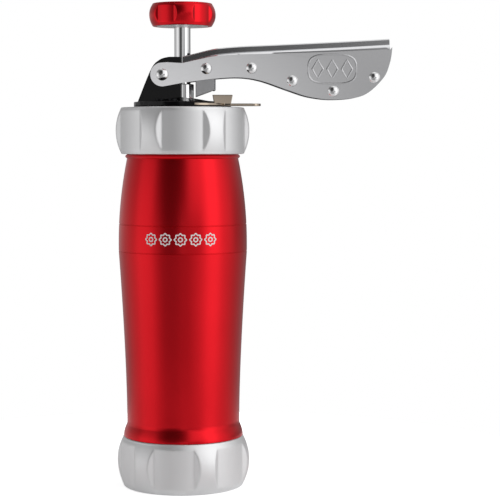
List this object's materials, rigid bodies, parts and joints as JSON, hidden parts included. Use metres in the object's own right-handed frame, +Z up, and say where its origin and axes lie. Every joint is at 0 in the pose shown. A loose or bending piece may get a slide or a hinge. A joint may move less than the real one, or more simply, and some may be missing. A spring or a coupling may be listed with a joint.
{
  "type": "cookie press",
  "caption": "Hand cookie press: red waisted barrel between two ring nuts, push rod with knob, pressed-steel lever driving the rod, swinging dose regulator.",
  "frame": {"origin": "centre of the lower nut's opening, on the barrel's axis, at the nut's foot", "axes": "+Z up along the barrel and the rod, +X towards the lever's free end"},
  "size_m": [0.136, 0.064, 0.2388],
  "materials": {
    "red_anodised": "satin red anodised",
    "satin_aluminium": "satin",
    "disc_aluminium": "fine turned",
    "black_moulding": "semi gloss",
    "black_screw": "blackened",
    "bright_steel": "polished",
    "chromed_sheet": "bright, fine grain",
    "grey_steel": "tumbled",
    "spring_steel": "drawn wire",
    "nickel_plate": "warm nickel plated",
    "piston_plastic": "moulded",
    "seal_rubber": "matte"
  },
  "bodies": {
    "barrel": {"barrel": "red_anodised"},
    "disc": {"biscuit_disc": "disc_aluminium"},
    "lower_ring": {"lower_nut": "satin_aluminium"},
    "head": {"head_base": "black_moulding", "head_tower": "black_moulding", "tower_screws": "black_screw", "guide_bush": "bright_steel", "brake_plate": "grey_steel", "brake_spring": "spring_steel", "brake_cover": "grey_steel", "cover_screws": "grey_steel"},
    "upper_ring": {"upper_nut": "satin_aluminium"},
    "regulator": {"regulator": "nickel_plate"},
    "plunger": {"piston_rod": "bright_steel", "piston": "piston_plastic", "piston_seal": "seal_rubber", "piston_washer": "grey_steel", "piston_screw": "grey_steel", "knob": "red_anodised", "knob_plate": "disc_aluminium"},
    "lever": {"lever_shell": "chromed_sheet", "lever_rivets": "bright_steel", "lever_spacers": "grey_steel", "pivot_pin": "bright_steel", "return_spring": "spring_steel", "dog_pin": "bright_steel"},
    "dog": {"drive_dog": "grey_steel", "grip_plate": "grey_steel", "dog_spring": "spring_steel"}
  },
  "joints": [
    {"name": "disc_drop", "type": "slide", "parent": "barrel", "child": "disc", "axis": [0, 0, -1], "range_m": [0, 0.01205]},
    {"name": "lower_nut_turn", "type": "hinge", "parent": "disc", "child": "lower_ring", "pos_m": [0, 0, 0], "axis": [0, 0, -1], "range_deg": [0, 720]},
    {"name": "head_lift", "type": "slide", "parent": "barrel", "child": "head", "axis": [0, 0, 1], "range_m": [0, 0.01205]},
    {"name": "upper_nut_turn", "type": "hinge", "parent": "head", "child": "upper_ring", "pos_m": [0, 0, 0.1763], "axis": [0, 0, 1], "range_deg": [0, 720]},
    {"name": "rod_slide", "type": "slide", "parent": "head", "child": "plunger", "axis": [0, 0, 1], "range_m": [-0.011, 0.138]},
    {"name": "regulator_swing", "type": "hinge", "parent": "head", "child": "regulator", "pos_m": [0, 0, 0.1893], "axis": [0, 0, 1], "range_deg": [-45, 0]},
    {"name": "lever_turn", "type": "hinge", "parent": "head", "child": "lever", "pos_m": [-0.0099, 0, 0.20385], "axis": [0, 1, 0], "range_deg": [0, 11.8], "stiffness_Nm_per_rad": 0.3, "springref_deg": -20.05},
    {"name": "dog_turn", "type": "hinge", "parent": "lever", "child": "dog", "pos_m": [0.0116, 0, 0.20675], "axis": [0, 1, 0], "range_deg": [-12, 0.5]}
  ],
  "couplings": [
    {"joint": "disc_drop", "follows": "lower_nut_turn", "m_per_rad": 0.00095493},
    {"joint": "head_lift", "follows": "upper_nut_turn", "m_per_rad": 0.00095493},
    {"joint": "dog_turn", "follows": "lever_turn", "ratio": -1}
  ]
}
